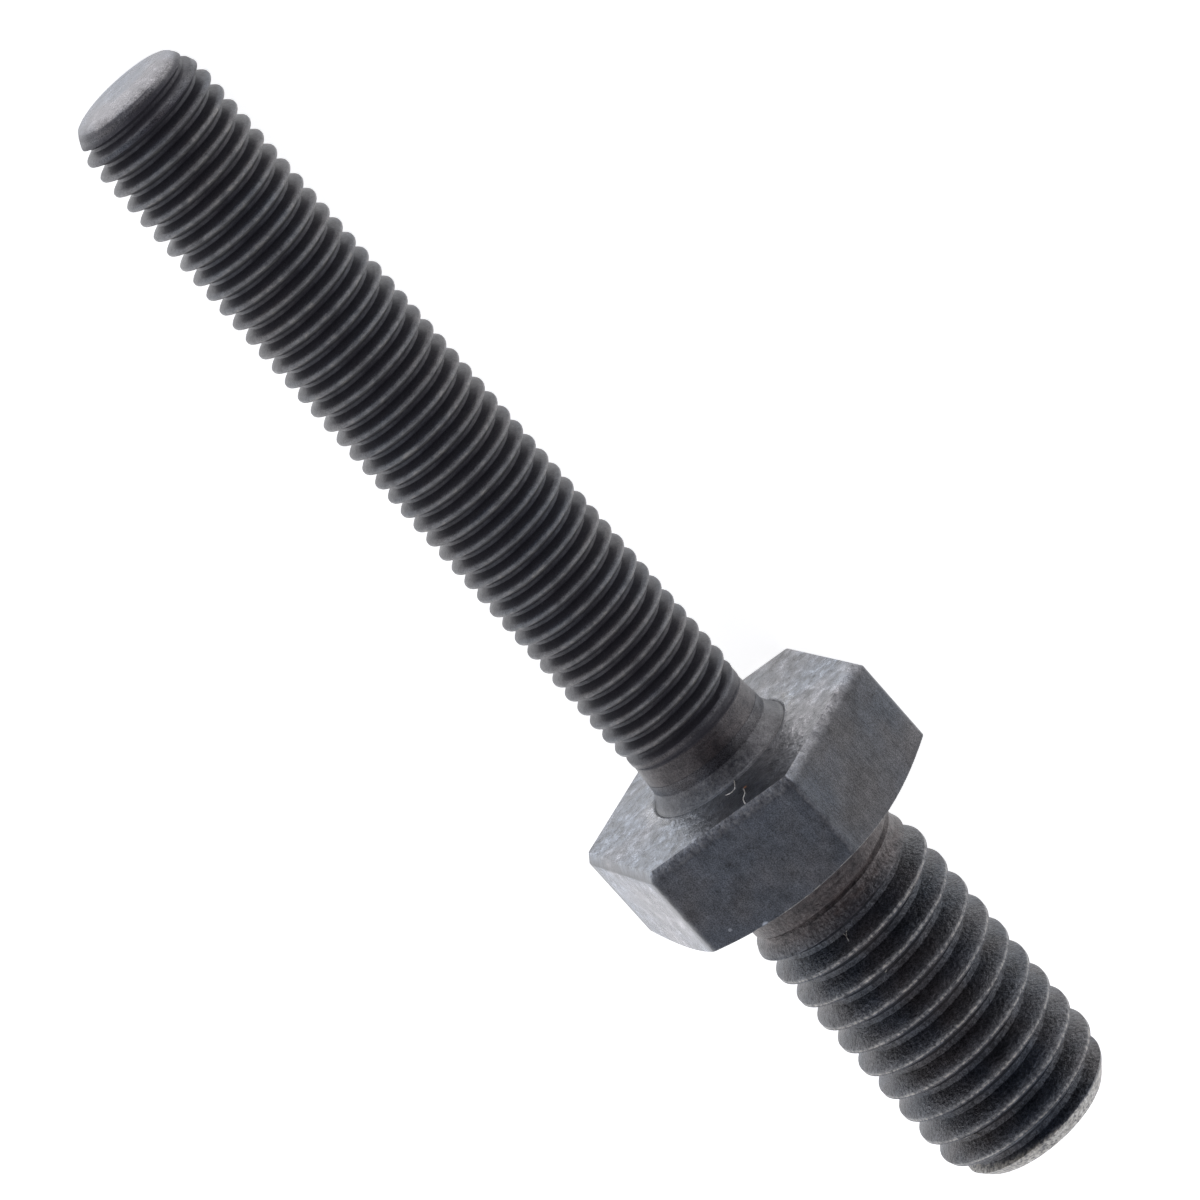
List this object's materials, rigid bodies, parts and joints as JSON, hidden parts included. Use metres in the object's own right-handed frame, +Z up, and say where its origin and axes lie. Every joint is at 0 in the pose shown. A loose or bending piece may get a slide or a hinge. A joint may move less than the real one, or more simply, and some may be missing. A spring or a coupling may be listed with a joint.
{
  "type": "rocker stud",
  "caption": "One-piece steel stud: a long fine-threaded stem, a bevelled hexagon with a small collar, and a short, thicker coarse-threaded shank with a plain neck under the hexagon.",
  "frame": {"origin": "centre of the hexagon's underside, the face that seats when the stud is screwed in", "axes": "+Z up; the stud lies along X, its fine-threaded end towards +X and 5.15 degrees below level, one hexagon flat facing down"},
  "size_m": [0.078, 0.0192, 0.0171],
  "materials": {
    "blackened_steel": "black oxide, satin"
  },
  "bodies": {
    "root": {"rocker_stud": "blackened_steel"}
  },
  "joints": []
}
